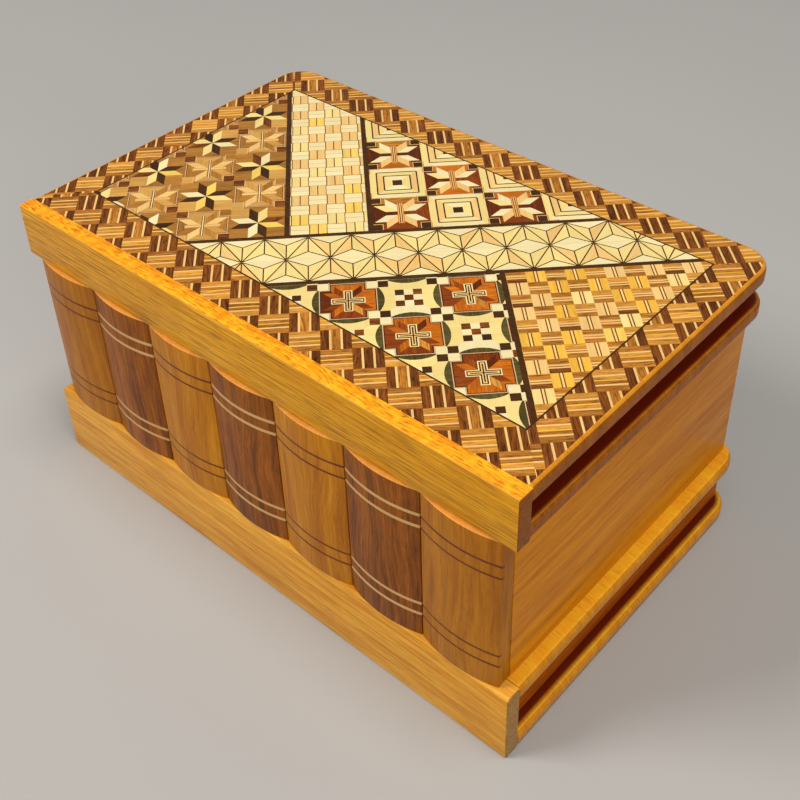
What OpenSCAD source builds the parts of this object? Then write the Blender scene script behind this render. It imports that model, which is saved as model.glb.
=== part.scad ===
// Wooden code box in the shape of a stack of books: one book lies flat at the bottom,
// seven stand in a row, and one lies flat on top as the lid.
// X runs along the row, Y from front to back, Z up. Millimetres.

/* [Box] */
// Width over the ends of the flat books
box_w = 180; // [170:1:190]
// Depth of the top book
book_d = 114; // [108:1:120]
// Overall height
total_h = 94; // [90:0.5:100]
// Radius of the rear corners of the book covers
corner_r = 9; // [6:0.5:12]
// How far the covers stand out over the walls at the two ends
end_overhang = 4.1; // [3:0.1:5]
// How far the covers stand out over the back wall
back_overhang = 4; // [3.8:0.1:4.4]

/* [Flat books] */
// Height of the top book, which is the lid
lid_h = 16.6; // [15:0.1:18]
// Height of the bottom book
base_h = 24.4; // [22:0.1:26]
// Thickness of each cover board
cover_t = 4.8; // [4.4:0.1:5.4]
// Thickness of the lid's spine board
lid_spine_t = 4.8; // [4:0.1:6]
// Thickness of the bottom book's spine board
base_spine_t = 5.2; // [4:0.1:6]
// How far the bottom book's spine stands in front of the lid's
base_proud = 0.8; // [0.2:0.1:1]
// Width of the battens that make the page blocks
page_w = 10; // [8:1:14]
// Air gap between the walls and the lid
lid_gap = 0.4; // [0.3:0.1:0.6]
// Thickness of the veneer strip on top of the lid's spine
cap_t = 0.5; // [0.4:0.1:0.8]

/* [Standing books] */
// Gap between two neighbouring books
book_gap = 0.3; // [0.3:0.05:0.5]
// Height of the crown of each rounded spine
crown = 2; // [1.6:0.1:2.4]
// How far the edges of the spines lie behind the lid's front face
valley_inset = 0.8; // [0.5:0.1:1]
// Distance from the front face of the lid to the back of the books
book_back = 5; // [4.5:0.1:5.5]
// Distance from a book's end to the first line inlaid in its spine
line_first = 8.2; // [6:0.1:10]
// Distance between the two lines of a pair
line_step = 4; // [3:0.1:5]
// Height of the dark lines in the light books
dark_line_h = 0.7; // [0.5:0.1:1]
// Height of the pale lines in the dark books
pale_line_h = 1; // [0.6:0.1:1.4]
// Depth of the inlaid lines
line_depth = 0.8; // [0.5:0.1:1]

/* [Walls] */
// Thickness of the side and back walls
wall_t = 6; // [5:0.5:7]
// Thickness of the front wall behind the books
front_wall_t = 4.8; // [4:0.1:5]

/* [Code lock] */
// How far each book pulls out
pull = 5; // [4:0.5:5]
// Width of a tongue where it passes the front wall
tongue_w = 8; // [7:0.1:8.5]
// Width of a tongue behind the front wall, where its ears stop it
ear_w = 12; // [11:0.1:12.4]
// Thickness of a tongue
tongue_t = 3; // [2.5:0.1:3.5]
// Radius of the gate in a tongue, which lets a pin's head through
gate_r = 3.7; // [3.5:0.1:4]
// Width of the slot in a tongue, which holds a pin's head down
slot_w = 3.4; // [3:0.1:3.8]
// Radius of a pin's shank
pin_r = 1.2; // [1:0.1:1.3]
// Radius of a pin's head
pin_head_r = 2.7; // [2.5:0.1:2.8]
// Height of a pin's head
pin_head_h = 2.2; // [1.8:0.1:2.4]

/* [Hinges] */
// Distance from the middle of the box to the middle of each hinge
hinge_x = 50; // [40:1:60]
// Length of a hinge
hinge_len = 22; // [18:1:26]
// Radius of a hinge's knuckles
knuckle_r = 1.6; // [1.5:0.1:1.7]
// Radius of a hinge pin
hinge_pin_r = 0.85; // [0.7:0.05:0.9]
// Thickness of a hinge leaf
leaf_t = 1; // [0.8:0.1:1.1]

/* [Marquetry] */
// Thickness of the marquetry sheet
veneer_t = 0.4; // [0.3:0.1:0.6]
// Width of the rounded wooden edge around the marquetry
edge_w = 1.2; // [1:0.1:2]
// Width of the picture inside the border
field_w = 156; // [150:1:160]
// Depth of the picture inside the border
field_d = 81.5; // [76:0.5:84]
// Distance from the lid's front face to the picture
field_front = 18.4; // [17:0.1:20]
// Width of the dark line around the picture
outline_w = 0.5; // [0.4:0.1:0.8]
// Width of the dark bars between the patches
bar_w = 1.5; // [1:0.1:2]
// Distance from the picture's middle to the bar in front of the diagonal band
band_front_bar = -24.2; // [-26:0.1:-22]
// Distance from the picture's middle to the bar behind the diagonal band
band_rear_bar = -2.4; // [-4:0.1:0]
// Distance along the band to the bar between the stars and the cream weave
left_bar = -28; // [-30:0.1:-26]
// Distance along the band to the bar between the cream weave and the checks
middle_bar = -4.8; // [-7:0.1:-3]
// Distance along the band to the bar between the medallions and the gold weave
right_bar = 28.6; // [26:0.1:30]

/* [Hidden] */
book_count = 7;
hinge_sides = [-1, 1];
fine = 96;
small = 40;

// Levels
wall_top = total_h - lid_h - lid_gap;
lid_z = total_h - lid_h;
page_z = cover_t;
base_cover_z = base_h - cover_t;
lid_page_z = lid_z + cover_t;
lid_cover_z = total_h - cover_t;

// Places along Y: the crowns of the spines are the front of the whole box
back_y = (book_d + crown - valley_inset) / 2;
lid_front_y = back_y - book_d;
lid_board_y = lid_front_y + lid_spine_t;
base_front_y = lid_front_y - base_proud;
base_board_y = base_front_y + base_spine_t;
book_back_y = lid_front_y + book_back;
crown_y = -back_y;
wall_gap = 0.2;
wall_front_y = book_back_y + wall_gap;
inner_front_y = wall_front_y + front_wall_t;
wall_back_y = back_y - back_overhang;
inner_back_y = wall_back_y - wall_t;

// Places along X
half_w = box_w / 2;
wall_x = half_w - end_overhang;
inner_x = wall_x - wall_t;

// Standing books
pitch = 2 * wall_x / book_count;
book_w = pitch - book_gap;
spine_r = (pitch * pitch / 4 + crown * crown) / (2 * crown);
spine_axis_y = crown_y + spine_r;
book_lift = 0.1;
book_z = base_h + book_lift;
book_h = wall_top - book_z;

// Code lock
mortise = 3;
run = 0.2;
stop_gap = 0.1;
tongue_z = 69;
rim = 1.5;
ear_y = inner_front_y + pull + stop_gap;
gate_y = ear_y + rim + gate_r;
tongue_end_y = gate_y + pull + slot_w / 2 + rim;
pin_head_z = tongue_z - 0.5 - pin_head_h;
pin_depth = 3;
hole_r = 4;
lock_floor_t = 4;
lock_floor_z = tongue_z - run - lock_floor_t;
lock_top_z = tongue_z + tongue_t + run;
lock_top_h = wall_top - 0.6 - lock_top_z;
lock_back_y = tongue_end_y + 1;
lock_back_t = 4;
lock_d = lock_back_y - inner_front_y;

// Hinges
axis_y = wall_back_y + 0.6;
axis_z = wall_top + lid_gap / 2;
knuckle_room = 0.3;
knuckle_half = 3.5;
leaf_front_y = wall_back_y - 5.6;
leaf_cut_y = axis_y - knuckle_r - knuckle_room;
room_r = knuckle_r + knuckle_room;
screw_x = 8;
screw_y = leaf_front_y + 2.1;
screw_r = 0.8;
screw_head_r = 1.6;
screw_len = 3.4;
screw_sink = 0.1;
driver_slot = 0.4;

// Marquetry
field_y = lid_front_y + field_front;
field_mid_y = field_y + field_d / 2;
far = 200;
bar_half = bar_w / 2;

function numbered(stem) = [for (k = [1:book_count]) str(stem, k)];

// ---------- shared shapes ----------

// Outline of a cover board, square at the front and rounded at the two rear corners
module cover_plan(front_y, inset = 0) {
    r = corner_r - inset;
    x = half_w - inset;
    y = back_y - inset;
    translate([-x, front_y]) square([2 * x, y - r - front_y]);
    translate([-x + r, front_y]) square([2 * (x - r), y - front_y]);
    for (side = [-1, 1]) translate([side * (x - r), y - r]) circle(r, $fn = fine);
}

module cover_board(front_y, z) {
    translate([0, 0, z]) linear_extrude(cover_t) cover_plan(front_y);
}

// Battens of a page block: one along each end, one along the back and one along the front
module page_end(side, front_y, z, h) {
    x = side > 0 ? wall_x - page_w : -wall_x;
    translate([x, front_y, z]) cube([page_w, wall_back_y - front_y, h]);
}

module page_long(y, z, h) {
    x = wall_x - page_w;
    translate([-x, y, z]) cube([2 * x, page_w, h]);
}

function book_x(k) = (k - (book_count + 1) / 2) * pitch;
function is_dark(k) = k % 2 == 0;

// Places for the holes, pins and tongues of the lock
module at_each_book() {
    for (k = [1:book_count]) translate([book_x(k), 0, 0]) children();
}

module at_each_hinge() {
    for (side = hinge_sides) translate([side * hinge_x, 0, 0]) children();
}

// ---------- bottom book ----------

module base_cover_lower() color("peru") cover_board(base_board_y, 0);

module base_cover_upper() color("peru") cover_board(base_board_y, base_cover_z);

module base_page_end(side) {
    color("sienna") page_end(side, base_board_y, page_z, base_cover_z - page_z);
}

module base_page_long(y) {
    color("sienna") page_long(y, page_z, base_cover_z - page_z);
}

module base_spine() {
    color("goldenrod") translate([-half_w, base_front_y, 0]) cube([box_w, base_spine_t, base_h]);
}

// ---------- walls ----------

module side_wall(side) {
    x = side > 0 ? inner_x : -wall_x;
    color("peru") translate([x, wall_front_y, base_h])
        cube([wall_t, wall_back_y - wall_front_y, wall_top - base_h]);
}

module back_wall() {
    color("peru") difference() {
        translate([-inner_x, inner_back_y, base_h])
            cube([2 * inner_x, wall_t, wall_top - base_h]);
        at_each_hinge() {
            translate([-hinge_len / 2, leaf_front_y, wall_top - leaf_t])
                cube([hinge_len, far, far]);
            translate([-hinge_len / 2 - knuckle_room, leaf_cut_y, axis_z - room_r])
                cube([hinge_len + 2 * knuckle_room, far, far]);
        }
    }
}

module front_wall() {
    w = tongue_w + 3 * run;
    color("burlywood") difference() {
        translate([-inner_x, wall_front_y, base_h])
            cube([2 * inner_x, front_wall_t, wall_top - base_h]);
        at_each_book() translate([-w / 2, wall_front_y - 1, tongue_z - run])
            cube([w, front_wall_t + 2, tongue_t + 2 * run]);
    }
}

// ---------- code lock ----------

module lock_board(z, h) {
    difference() {
        translate([-inner_x, inner_front_y, z]) cube([2 * inner_x, lock_d, h]);
        at_each_book() translate([0, gate_y, z - 1]) cylinder(h + 2, r = hole_r, $fn = fine);
    }
}

module lock_floor() color("burlywood") lock_board(lock_floor_z, lock_floor_t);

module lock_top() color("burlywood") lock_board(lock_top_z, lock_top_h);

module lock_back() {
    color("burlywood") translate([-inner_x, lock_back_y, lock_floor_z])
        cube([2 * inner_x, lock_back_t, lock_top_z + lock_top_h - lock_floor_z]);
}

// A sliding tongue: the pin's head passes its round gate only when the book is fully home
module tongue(k) {
    front = book_back_y - mortise;
    color("wheat") translate([book_x(k), 0, tongue_z]) difference() {
        union() {
            translate([-tongue_w / 2, front, 0]) cube([tongue_w, tongue_end_y - front, tongue_t]);
            translate([-ear_w / 2, ear_y, 0]) cube([ear_w, tongue_end_y - ear_y, tongue_t]);
        }
        translate([0, gate_y, -1]) cylinder(tongue_t + 2, r = gate_r, $fn = fine);
        translate([-slot_w / 2, gate_y, -1]) cube([slot_w, pull, tongue_t + 2]);
        translate([0, gate_y + pull, -1]) cylinder(tongue_t + 2, r = slot_w / 2, $fn = small);
    }
}

// Mushroom-headed pins under the lid, one above each tongue
module lock_pins() {
    color("gold") at_each_book() translate([0, gate_y, pin_head_z]) {
        cylinder(pin_head_h, r = pin_head_r, $fn = fine);
        cylinder(lid_z + pin_depth - pin_head_z, r = pin_r, $fn = small);
    }
}

// ---------- standing books ----------

module spine_round(r, z, h) {
    translate([0, spine_axis_y, z]) cylinder(h, r = r, $fn = 180);
}

// The four lines inlaid round a spine, as rings cut to the width of the book
module spine_lines(k, margin = 0) {
    h = is_dark(k) ? pale_line_h : dark_line_h;
    zs = [book_z + line_first, book_z + line_first + line_step,
          wall_top - line_first - line_step, wall_top - line_first];
    for (z = zs) intersection() {
        difference() {
            spine_round(spine_r + margin, z - h / 2, h);
            spine_round(spine_r - line_depth, z - h / 2 - 1, h + 2);
        }
        translate([-book_w / 2 - margin, crown_y - 1, z - h / 2 - 1])
            cube([book_w + 2 * margin, book_back_y - crown_y, h + 2]);
    }
}

module book(k) {
    color(is_dark(k) ? "saddlebrown" : "peru") translate([book_x(k), 0, 0]) difference() {
        intersection() {
            spine_round(spine_r, book_z, book_h);
            translate([-book_w / 2, crown_y - 1, book_z])
                cube([book_w, book_back_y - crown_y + 1, book_h]);
        }
        spine_lines(k, 1);
        translate([-tongue_w / 2, book_back_y - mortise, tongue_z])
            cube([tongue_w, mortise + 1, tongue_t]);
    }
}

module book_lines(k) {
    color(is_dark(k) ? "wheat" : "maroon") translate([book_x(k), 0, 0]) spine_lines(k);
}

// ---------- lid ----------

module lid_cover_lower() {
    color("peru") difference() {
        cover_board(lid_board_y, lid_z);
        at_each_hinge() {
            translate([-hinge_len / 2, leaf_front_y, lid_z - 1])
                cube([hinge_len, far, leaf_t + 1]);
            translate([-hinge_len / 2 - knuckle_room, leaf_cut_y, lid_z - 1])
                cube([hinge_len + 2 * knuckle_room, far, axis_z + room_r - lid_z + 1]);
        }
    }
}

module lid_page_end(side) {
    color("sienna") page_end(side, lid_board_y, lid_page_z, lid_cover_z - lid_page_z);
}

module lid_page_long(y) {
    color("sienna") page_long(y, lid_page_z, lid_cover_z - lid_page_z);
}

module lid_cover_top() {
    color("peru") difference() {
        cover_board(lid_board_y, lid_cover_z);
        translate([0, 0, total_h - veneer_t]) linear_extrude(1) sheet_plan();
    }
}

module lid_spine() {
    color("goldenrod") translate([-half_w, lid_front_y, lid_z])
        cube([box_w, lid_spine_t, lid_h - cap_t]);
}

module lid_spine_cap() {
    color("orange") translate([-half_w, lid_front_y, total_h - cap_t])
        cube([box_w, lid_spine_t, cap_t]);
}

// ---------- marquetry ----------

module sheet_plan() cover_plan(lid_board_y, edge_w);

module field_plan() translate([-field_w / 2, field_y]) square([field_w, field_d]);

module outline_plan() {
    translate([-field_w / 2 - outline_w, field_y - outline_w])
        square([field_w + 2 * outline_w, field_d + 2 * outline_w]);
}

module veneer(tint) {
    color(tint) translate([0, 0, total_h - veneer_t]) linear_extrude(veneer_t) children();
}

// The part of the picture between two diagonals each way: p runs along the band, q across it
module patch_plan(p0, p1, q0, q1) {
    intersection() {
        field_plan();
        translate([0, field_mid_y]) rotate(45) translate([p0, q0]) square([p1 - p0, q1 - q0]);
    }
}

module marquetry_border() veneer("sienna") difference() {
    sheet_plan();
    outline_plan();
}

module marquetry_outline() veneer("black") difference() {
    outline_plan();
    field_plan();
}

module marquetry_bars() veneer("darkolivegreen") {
    for (q = [band_front_bar, band_rear_bar]) patch_plan(-far, far, q - bar_half, q + bar_half);
    for (p = [left_bar, middle_bar])
        patch_plan(p - bar_half, p + bar_half, band_rear_bar + bar_half, far);
    patch_plan(right_bar - bar_half, right_bar + bar_half, -far, band_front_bar - bar_half);
}

module marquetry_stars() veneer("peru")
    patch_plan(-far, left_bar - bar_half, band_rear_bar + bar_half, far);

module marquetry_cream_weave() veneer("moccasin")
    patch_plan(left_bar + bar_half, middle_bar - bar_half, band_rear_bar + bar_half, far);

module marquetry_checks() veneer("chocolate")
    patch_plan(middle_bar + bar_half, far, band_rear_bar + bar_half, far);

module marquetry_hemp_leaf() veneer("cornsilk")
    patch_plan(-far, far, band_front_bar + bar_half, band_rear_bar - bar_half);

module marquetry_medallions() veneer("firebrick")
    patch_plan(-far, right_bar - bar_half, -far, band_front_bar - bar_half);

module marquetry_gold_weave() veneer("khaki")
    patch_plan(right_bar + bar_half, far, -far, band_front_bar - bar_half);

// ---------- hinges ----------

module knuckle(x0, x1, bore_r) {
    translate([x0, axis_y, axis_z]) rotate([0, 90, 0]) difference() {
        cylinder(x1 - x0, r = knuckle_r, $fn = small);
        translate([0, 0, -1]) cylinder(x1 - x0 + 2, r = bore_r, $fn = small);
    }
}

// Countersunk holes for the screws; turned is 1 with the heads up and -1 with the heads down
module screw_places(z, turned) {
    for (x = [-screw_x, 0, screw_x]) translate([x, screw_y, z]) scale([1, 1, turned]) children();
}

module sink_hole() {
    translate([0, 0, -leaf_t - 1]) cylinder(leaf_t + 1, r = screw_r + screw_sink, $fn = small);
    translate([0, 0, -leaf_t])
        cylinder(leaf_t, r1 = screw_r + screw_sink, r2 = screw_head_r + screw_sink, $fn = small);
    cylinder(1, r = screw_head_r + screw_sink, $fn = small);
}

module screw() {
    difference() {
        union() {
            translate([0, 0, -leaf_t]) cylinder(leaf_t, r1 = screw_r, r2 = screw_head_r, $fn = small);
            translate([0, 0, -screw_len]) cylinder(screw_len - leaf_t, r = screw_r, $fn = small);
        }
        translate([-far / 2, -driver_slot / 2, -driver_slot]) cube([far, driver_slot, 1]);
    }
}

module leaf_wall() {
    x = hinge_len / 2;
    inner = knuckle_half + knuckle_room;
    difference() {
        translate([-x, leaf_front_y, wall_top - leaf_t])
            cube([2 * x, axis_y - leaf_front_y, leaf_t]);
        translate([-inner, leaf_cut_y, 0]) cube([2 * inner, far, far]);
        translate([-far / 2, axis_y, axis_z]) rotate([0, 90, 0]) cylinder(far, r = hinge_pin_r, $fn = small);
        screw_places(wall_top, 1) sink_hole();
    }
    knuckle(-x, -inner, hinge_pin_r);
    knuckle(inner, x, hinge_pin_r);
}

module leaf_lid() {
    x = hinge_len / 2;
    difference() {
        union() {
            translate([-x, leaf_front_y, lid_z]) cube([2 * x, leaf_cut_y - leaf_front_y, leaf_t]);
            translate([-knuckle_half, leaf_front_y, lid_z])
                cube([2 * knuckle_half, axis_y - leaf_front_y, leaf_t]);
            translate([-knuckle_half, axis_y, axis_z]) rotate([0, 90, 0])
                cylinder(2 * knuckle_half, r = knuckle_r, $fn = small);
        }
        translate([-far / 2, axis_y, axis_z]) rotate([0, 90, 0])
            cylinder(far, r = hinge_pin_r + 0.05, $fn = small);
        screw_places(lid_z, -1) sink_hole();
    }
}

module hinge_leaves_wall() color("gold") at_each_hinge() leaf_wall();

module hinge_leaves_lid() color("gold") at_each_hinge() leaf_lid();

module hinge_pins() {
    color("darkgoldenrod") at_each_hinge()
        translate([-hinge_len / 2, axis_y, axis_z]) rotate([0, 90, 0])
            cylinder(hinge_len, r = hinge_pin_r, $fn = small);
}

module hinge_screws_wall() {
    color("darkgoldenrod") at_each_hinge() screw_places(wall_top, 1) screw();
}

module hinge_screws_lid() {
    color("darkgoldenrod") at_each_hinge() screw_places(lid_z, -1) screw();
}

// ---------- nodes ----------

base_cover_lower();
base_page_end(-1);  // base_page_left
base_page_end(1);  // base_page_right
base_page_long(wall_back_y - page_w);  // base_page_back
base_page_long(base_board_y);  // base_page_front
base_cover_upper();
base_spine();
side_wall(-1);  // side_wall_left
side_wall(1);  // side_wall_right
back_wall();
front_wall();
lock_floor();
lock_top();
lock_back();
for (k = [1:book_count]) {
    book(k);
    book_lines(k);
    tongue(k);
}
lid_cover_lower();
lid_page_end(-1);  // lid_page_left
lid_page_end(1);  // lid_page_right
lid_page_long(wall_back_y - page_w);  // lid_page_back
lid_page_long(lid_board_y);  // lid_page_front
lid_cover_top();
lid_spine();
lid_spine_cap();
lock_pins();
marquetry_border();
marquetry_outline();
marquetry_bars();
marquetry_stars();
marquetry_cream_weave();
marquetry_checks();
marquetry_hemp_leaf();
marquetry_medallions();
marquetry_gold_weave();
hinge_leaves_wall();
hinge_leaves_lid();
hinge_pins();
hinge_screws_wall();
hinge_screws_lid();
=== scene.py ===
"""Looks of a wooden code box shaped as a stack of books.

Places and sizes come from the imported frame. Lengths are in millimetres until a mesh or a light is made, and
angles are in degrees. Boards are rebuilt with rounded edges, the book spines with their inlaid lines, and the
marquetry piece by piece, each piece with its own wood and its own grain."""

import math
import random
from collections import namedtuple

import bmesh
import bpy
from mathutils import Matrix, Vector
from mathutils.geometry import convex_hull_2d, delaunay_2d_cdt


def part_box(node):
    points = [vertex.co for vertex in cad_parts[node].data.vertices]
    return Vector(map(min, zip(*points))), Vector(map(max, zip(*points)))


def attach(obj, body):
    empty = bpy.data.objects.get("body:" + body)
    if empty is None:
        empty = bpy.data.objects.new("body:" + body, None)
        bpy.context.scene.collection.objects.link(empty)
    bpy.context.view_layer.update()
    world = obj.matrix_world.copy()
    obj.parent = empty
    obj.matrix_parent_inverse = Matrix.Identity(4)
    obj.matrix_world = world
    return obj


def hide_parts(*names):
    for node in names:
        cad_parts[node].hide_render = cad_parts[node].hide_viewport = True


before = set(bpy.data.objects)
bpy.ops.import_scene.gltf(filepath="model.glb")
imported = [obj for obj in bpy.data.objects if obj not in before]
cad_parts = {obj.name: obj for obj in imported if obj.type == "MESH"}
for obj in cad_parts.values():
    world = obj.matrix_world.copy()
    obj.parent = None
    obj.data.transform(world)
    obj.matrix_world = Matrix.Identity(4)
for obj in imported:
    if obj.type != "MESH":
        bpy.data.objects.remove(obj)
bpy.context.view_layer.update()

MM = 0.001
ROOT2 = math.sqrt(2)
BOOKS = range(1, 8)
TINY = 0.001
# Each piece is cut from its own place in a log. The depth there also sets its tone, which changes at each whole
# step, so a piece starts in the middle of a step and its depth counts a hair less than it is.
LOG_SIZE = 900
TONE_STEP = 200
TONES = 199
DEPTH_SHARE = 0.999
chance = random.Random(11)


# ---------- camera ----------

def add_camera(place, azimuth, elevation, roll, lens, shift):
    """A camera at `place` in millimetres; azimuth 0 looks along +Y."""
    a, e = math.radians(azimuth), math.radians(elevation)
    back = Vector((math.sin(a) * math.cos(e), -math.cos(a) * math.cos(e), math.sin(e)))
    right = Vector((math.cos(a), math.sin(a), 0))
    turn = Matrix.Rotation(math.radians(roll), 3, back)
    right = turn @ right
    data = bpy.data.cameras.new("camera")
    data.lens, data.sensor_width = lens, 36
    data.shift_x, data.shift_y = shift
    data.clip_start, data.clip_end = 0.01, 50
    camera = bpy.data.objects.new("camera", data)
    bpy.context.scene.collection.objects.link(camera)
    axes = Matrix((right, back.cross(right), back)).transposed()
    camera.matrix_world = Matrix.Translation(Vector(place) * MM) @ axes.to_4x4()
    bpy.context.scene.camera = camera


add_camera(place=(193.0, -203.8, 283.2), azimuth=42.31, elevation=36.77, roll=-1.69, lens=55.08,
           shift=(-0.004, -0.138))


# ---------- materials ----------

def rgb(red, green, blue):
    """A screen colour, 0 to 255, as the linear colour that shaders use."""
    linear = [(c / 255 / 12.92) if c <= 10 else ((c / 255 + 0.055) / 1.055) ** 2.4 for c in (red, green, blue)]
    return (*linear, 1)


def darker(colour, share):
    """A linear colour with a share of its brightness."""
    return (*(channel * share for channel in colour[:3]), 1)


class Graph:
    """A material under construction."""

    def __init__(self, name):
        self.material = bpy.data.materials.new(name)
        self.material.use_nodes = True
        self.nodes = self.material.node_tree.nodes
        self.links = self.material.node_tree.links
        self.shader = self.nodes["Principled BSDF"]

    def put(self, value, socket):
        """Sets a socket to a value, or links another node's output to it."""
        if isinstance(value, bpy.types.NodeSocket):
            self.links.new(value, socket)
        else:
            socket.default_value = value

    def math(self, operation, a, b=0.0):
        node = self.nodes.new("ShaderNodeMath")
        node.operation = operation
        self.put(a, node.inputs[0])
        self.put(b, node.inputs[1])
        return node.outputs[0]

    def stretch(self, vector, x, y, z):
        node = self.nodes.new("ShaderNodeVectorMath")
        node.operation = "MULTIPLY"
        self.put(vector, node.inputs[0])
        node.inputs[1].default_value = (x, y, z)
        return node.outputs[0]

    def noise(self, vector, detail=2.0, roughness=0.5):
        node = self.nodes.new("ShaderNodeTexNoise")
        node.inputs["Scale"].default_value = 1
        node.inputs["Detail"].default_value = detail
        node.inputs["Roughness"].default_value = roughness
        self.put(vector, node.inputs["Vector"])
        return node.outputs["Fac"]

    def fit(self, value, low, high, to_low=0.0, to_high=1.0):
        node = self.nodes.new("ShaderNodeMapRange")
        self.put(value, node.inputs["Value"])
        for socket, number in zip(list(node.inputs)[1:5], (low, high, to_low, to_high)):
            socket.default_value = number
        return node.outputs["Result"]

    def mix(self, share, a, b, blend="MIX"):
        node = self.nodes.new("ShaderNodeMix")
        node.data_type, node.blend_type = "RGBA", blend
        self.put(share, node.inputs["Factor"])
        self.put(a, node.inputs["A"])
        self.put(b, node.inputs["B"])
        return node.outputs["Result"]

    def bump(self, height, distance):
        node = self.nodes.new("ShaderNodeBump")
        node.inputs["Distance"].default_value = distance * MM
        node.inputs["Strength"].default_value = 1
        self.put(height, node.inputs["Height"])
        self.put(node.outputs["Normal"], self.shader.inputs["Normal"])

    def grain_space(self, axis):
        """Millimetres with X along the grain: from the mesh's grain attribute, or for a CAD node from its own
        axes, of which `axis` runs with the grain."""
        if axis is None:
            node = self.nodes.new("ShaderNodeAttribute")
            node.attribute_name = "grain"
            return node.outputs["Vector"]
        place = self.nodes.new("ShaderNodeTexCoord")
        parts = self.nodes.new("ShaderNodeSeparateXYZ")
        turned = self.nodes.new("ShaderNodeCombineXYZ")
        self.put(place.outputs["Object"], parts.inputs[0])
        for i in range(3):
            self.put(parts.outputs[("XYZ".index(axis) + i) % 3], turned.inputs[i])
        return self.stretch(turned.outputs[0], 1 / MM, 1 / MM, 1 / MM)


def wood(name, light, dark, axis=None, fibre=1.0, bands=0.5, flecks=0.3, curl=0.0, depth=1.0, scale=1.0,
         tone=0.12, gloss=0.36, wave=4.0, reach=1.0, stain=None):
    """Lacquered wood, whose grain runs along the axis of a CAD node, or follows the mesh's grain attribute.

    fibre, bands, flecks and curl: how strongly fine streaks, broad streaks, dark flecks and curly figure show
    depth, scale, reach: how fast the streaks change through the board, how close they are and how long
    tone: how much one piece differs from the next
    gloss: the roughness
    wave: how far the grain wanders, in millimetres
    stain: painted shade, a dark colour that takes over where the mesh's attribute of that name says so"""
    g = Graph(name)
    space = g.grain_space(axis)
    drift = g.noise(g.stretch(space, 0.025, 0.05, 0.05))
    bend = g.nodes.new("ShaderNodeCombineXYZ")
    g.put(g.fit(drift, 0, 1, -wave, wave), bend.inputs[1])
    moved = g.nodes.new("ShaderNodeVectorMath")
    g.put(g.stretch(space, 1, 1, depth), moved.inputs[0])
    g.put(bend.outputs[0], moved.inputs[1])
    bent = moved.outputs[0]

    fine = g.noise(g.stretch(bent, 0.07 * scale / reach, 1.5 * scale, 1.5 * scale), 5, 0.7)
    broad = g.noise(g.stretch(bent, 0.018, 0.3, 0.3), 3, 0.6)
    fleck = g.fit(g.noise(g.stretch(bent, 0.28 / reach, 2.3, 2.3), 3, 0.65), 0.50, 0.66)
    shade = g.math("ADD", g.fit(fine, 0.3, 0.7, -fibre, fibre), g.fit(broad, 0.3, 0.7, -bands, bands))
    if curl:
        figure = g.noise(g.stretch(bent, 0.35, 0.16, 0.16), 3, 0.6)
        shade = g.math("ADD", shade, g.fit(figure, 0.32, 0.68, -curl, curl))
    colour = g.mix(g.fit(shade, -1.1, 1.1), dark, light)
    colour = g.mix(g.math("MULTIPLY", fleck, flecks), colour, darker(dark, 0.3))
    if axis is None:
        parts = g.nodes.new("ShaderNodeSeparateXYZ")
        g.put(space, parts.inputs[0])
        piece = g.nodes.new("ShaderNodeTexWhiteNoise")
        piece.noise_dimensions = "1D"
        g.put(g.math("FLOOR", g.math("DIVIDE", parts.outputs[2], TONE_STEP)), piece.inputs["W"])
        tint = g.nodes.new("ShaderNodeCombineColor")
        for socket in tint.inputs[:3]:
            g.put(g.fit(piece.outputs["Value"], 0, 1, 1 - tone, 1 + tone), socket)
        colour = g.mix(1.0, colour, tint.outputs[0], "MULTIPLY")
    # Painted shade: where the mesh's attribute asks for it, the colour turns into the given dark colour with
    # streaks. It stands for the shade that falls in a recess.
    if stain:
        share = g.nodes.new("ShaderNodeAttribute")
        share.attribute_name = "stain"
        streaks = g.mix(fine, stain, darker(stain, 0.5))
        colour = g.mix(share.outputs["Fac"], colour, streaks)
    g.put(colour, g.shader.inputs["Base Color"])
    g.put(g.fit(fine, 0.3, 0.7, gloss + 0.08, gloss - 0.04), g.shader.inputs["Roughness"])
    g.shader.inputs["Specular IOR Level"].default_value = 0.14
    g.shader.inputs["Coat Weight"].default_value = 0.04
    g.shader.inputs["Coat Roughness"].default_value = 0.25
    g.bump(g.math("SUBTRACT", g.math("MULTIPLY", fine, 0.5), g.math("MULTIPLY", fleck, flecks)), 0.05)
    return g.material


def brass(name):
    """Satin brass with faint brushing and a little tarnish."""
    g = Graph(name)
    place = g.nodes.new("ShaderNodeTexCoord").outputs["Object"]
    brushed = g.noise(g.stretch(place, 400, 6000, 6000), 4, 0.6)
    stain = g.noise(g.stretch(place, 250, 250, 250), 3, 0.6)
    g.put(g.mix(g.fit(stain, 0.4, 0.7), rgb(214, 176, 96), rgb(150, 112, 52)), g.shader.inputs["Base Color"])
    g.put(g.fit(brushed, 0.3, 0.7, 0.22, 0.4), g.shader.inputs["Roughness"])
    g.shader.inputs["Metallic"].default_value = 1
    g.bump(brushed, 0.01)
    return g.material


def look(light, dark, **details):
    """What wood() is given: two screen colours and further details."""
    return {"light": rgb(*light), "dark": rgb(*dark), **details}


# Painted shade: the dark red-brown put on the groove floors of the lower covers, where the cover above shades
# them.
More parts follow.
